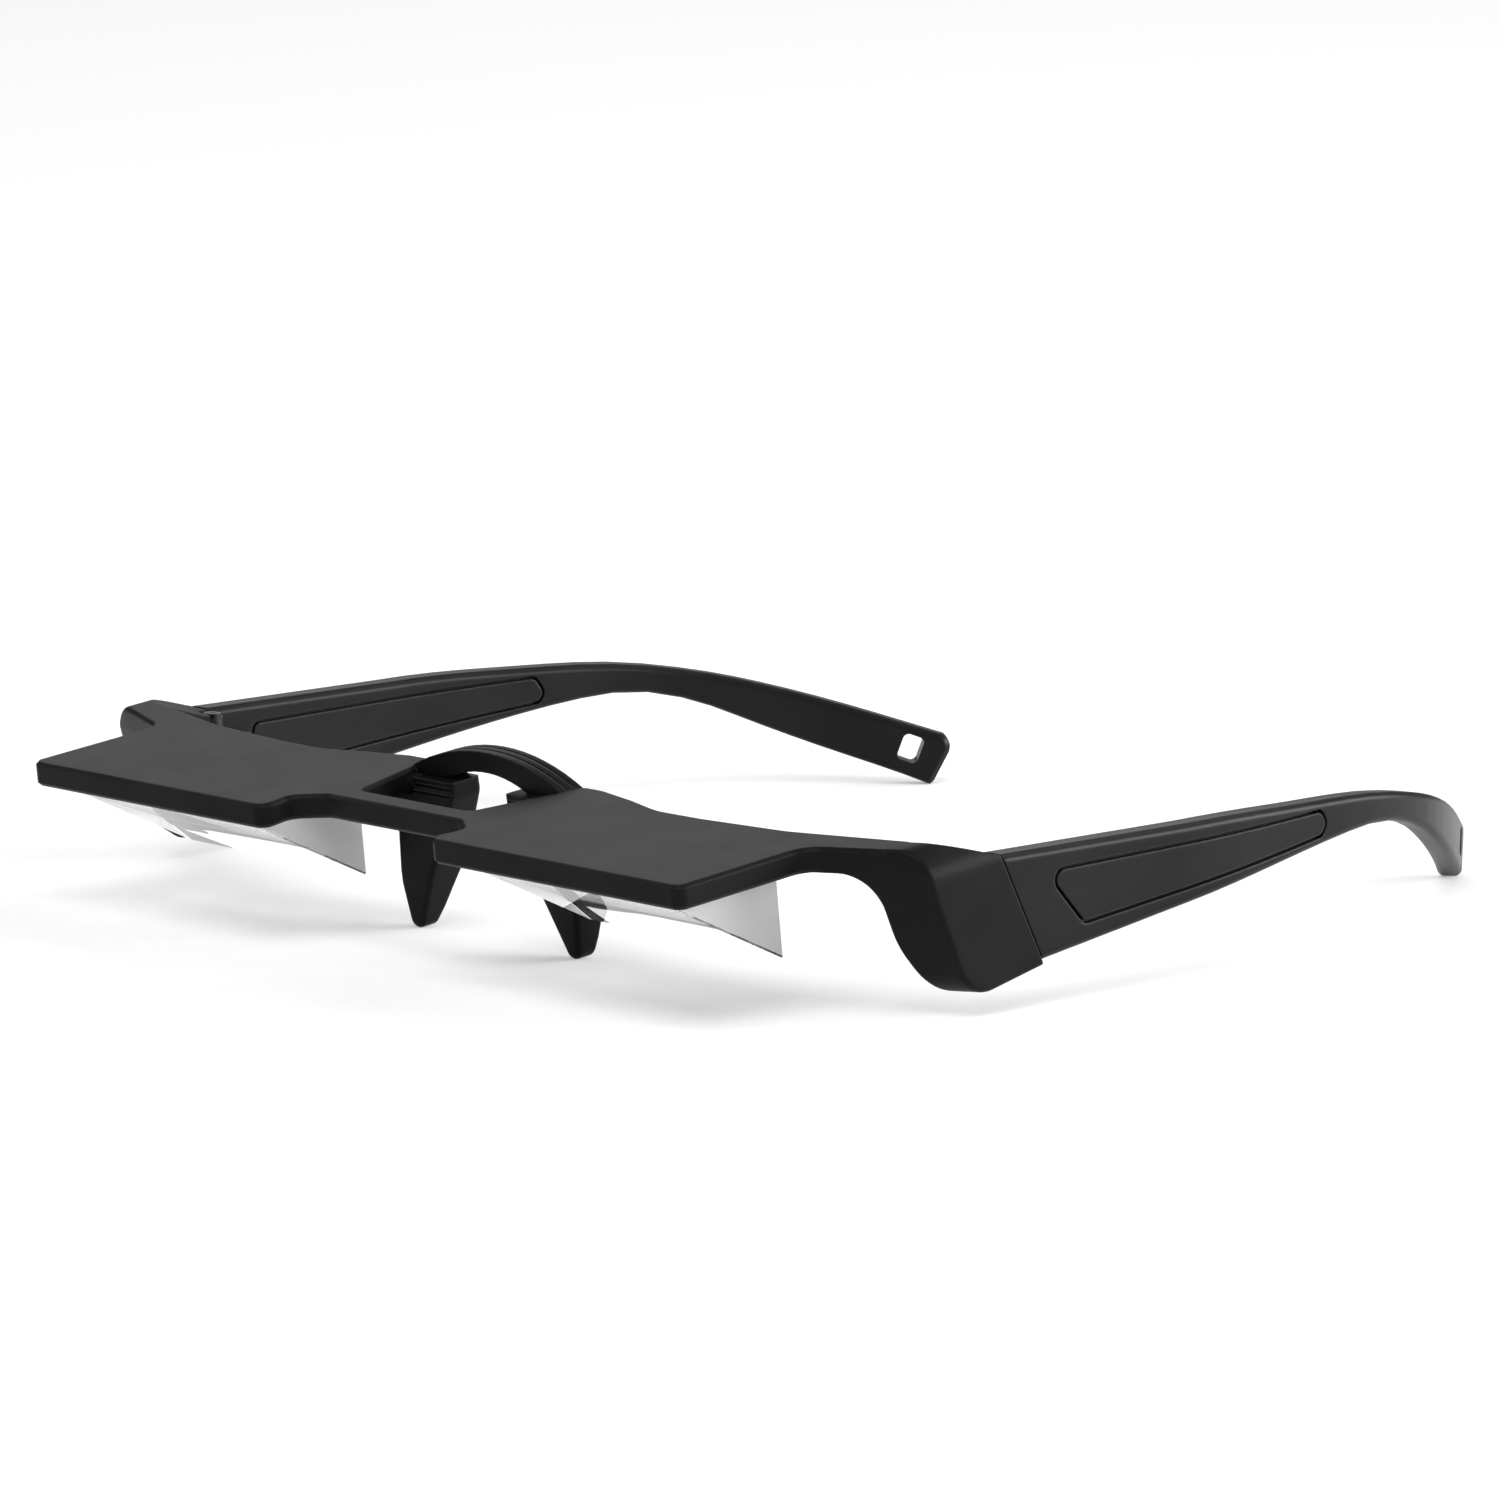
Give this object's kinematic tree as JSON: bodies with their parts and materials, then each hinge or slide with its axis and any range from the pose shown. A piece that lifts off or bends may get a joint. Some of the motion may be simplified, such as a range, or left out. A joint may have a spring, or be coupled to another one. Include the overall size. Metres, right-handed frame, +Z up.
{
  "type": "prism bed glasses",
  "caption": "Flat-fronted glasses with clear wedge prisms under cover plates, soft nose pads and folding hooked arms, for reading while lying down.",
  "frame": {"origin": "bottom centre of the bounding box, on the table the open glasses stand on", "axes": "+Z up; the front faces -Y and the arms run towards +Y; +X is the wearer's left"},
  "size_m": [0.165, 0.1619, 0.0268],
  "materials": {
    "frame_black": "satin injection-moulded black plastic",
    "temple_black": "satin injection-moulded black plastic",
    "inlay_black": "smoother satin black plastic",
    "prism_clear": "polished clear",
    "mirror_film": "silvered film",
    "adhesive_black": "thin black foam adhesive",
    "pad_rubber": "matte black soft rubber",
    "hinge_steel": "plain stamped steel",
    "screw_steel": "turned steel"
  },
  "bodies": {
    "front": {"frame_front": "frame_black", "prism_left": "prism_clear", "mirror_film_left": "mirror_film", "adhesive_sheet_left": "adhesive_black", "nose_pad_left": "pad_rubber", "hinge_front_leaf_left": "hinge_steel", "hinge_screw_left": "screw_steel", "prism_right": "prism_clear", "mirror_film_right": "mirror_film", "adhesive_sheet_right": "adhesive_black", "nose_pad_right": "pad_rubber", "hinge_front_leaf_right": "hinge_steel", "hinge_screw_right": "screw_steel"},
    "temple_left": {"temple_left": "temple_black", "outer_inlay_left": "inlay_black", "inner_inlay_left": "inlay_black", "hinge_temple_leaf_left": "hinge_steel"},
    "temple_right": {"temple_right": "temple_black", "outer_inlay_right": "inlay_black", "inner_inlay_right": "inlay_black", "hinge_temple_leaf_right": "hinge_steel"}
  },
  "joints": [
    {"name": "fold_left", "type": "hinge", "parent": "front", "child": "temple_left", "pos_m": [0.0767, -0.0395, 0.01575], "axis": [0, 0, 1], "range_deg": [0, 84]},
    {"name": "fold_right", "type": "hinge", "parent": "front", "child": "temple_right", "pos_m": [-0.0767, -0.0395, 0.01575], "axis": [0, 0, -1], "range_deg": [0, 68]}
  ]
}
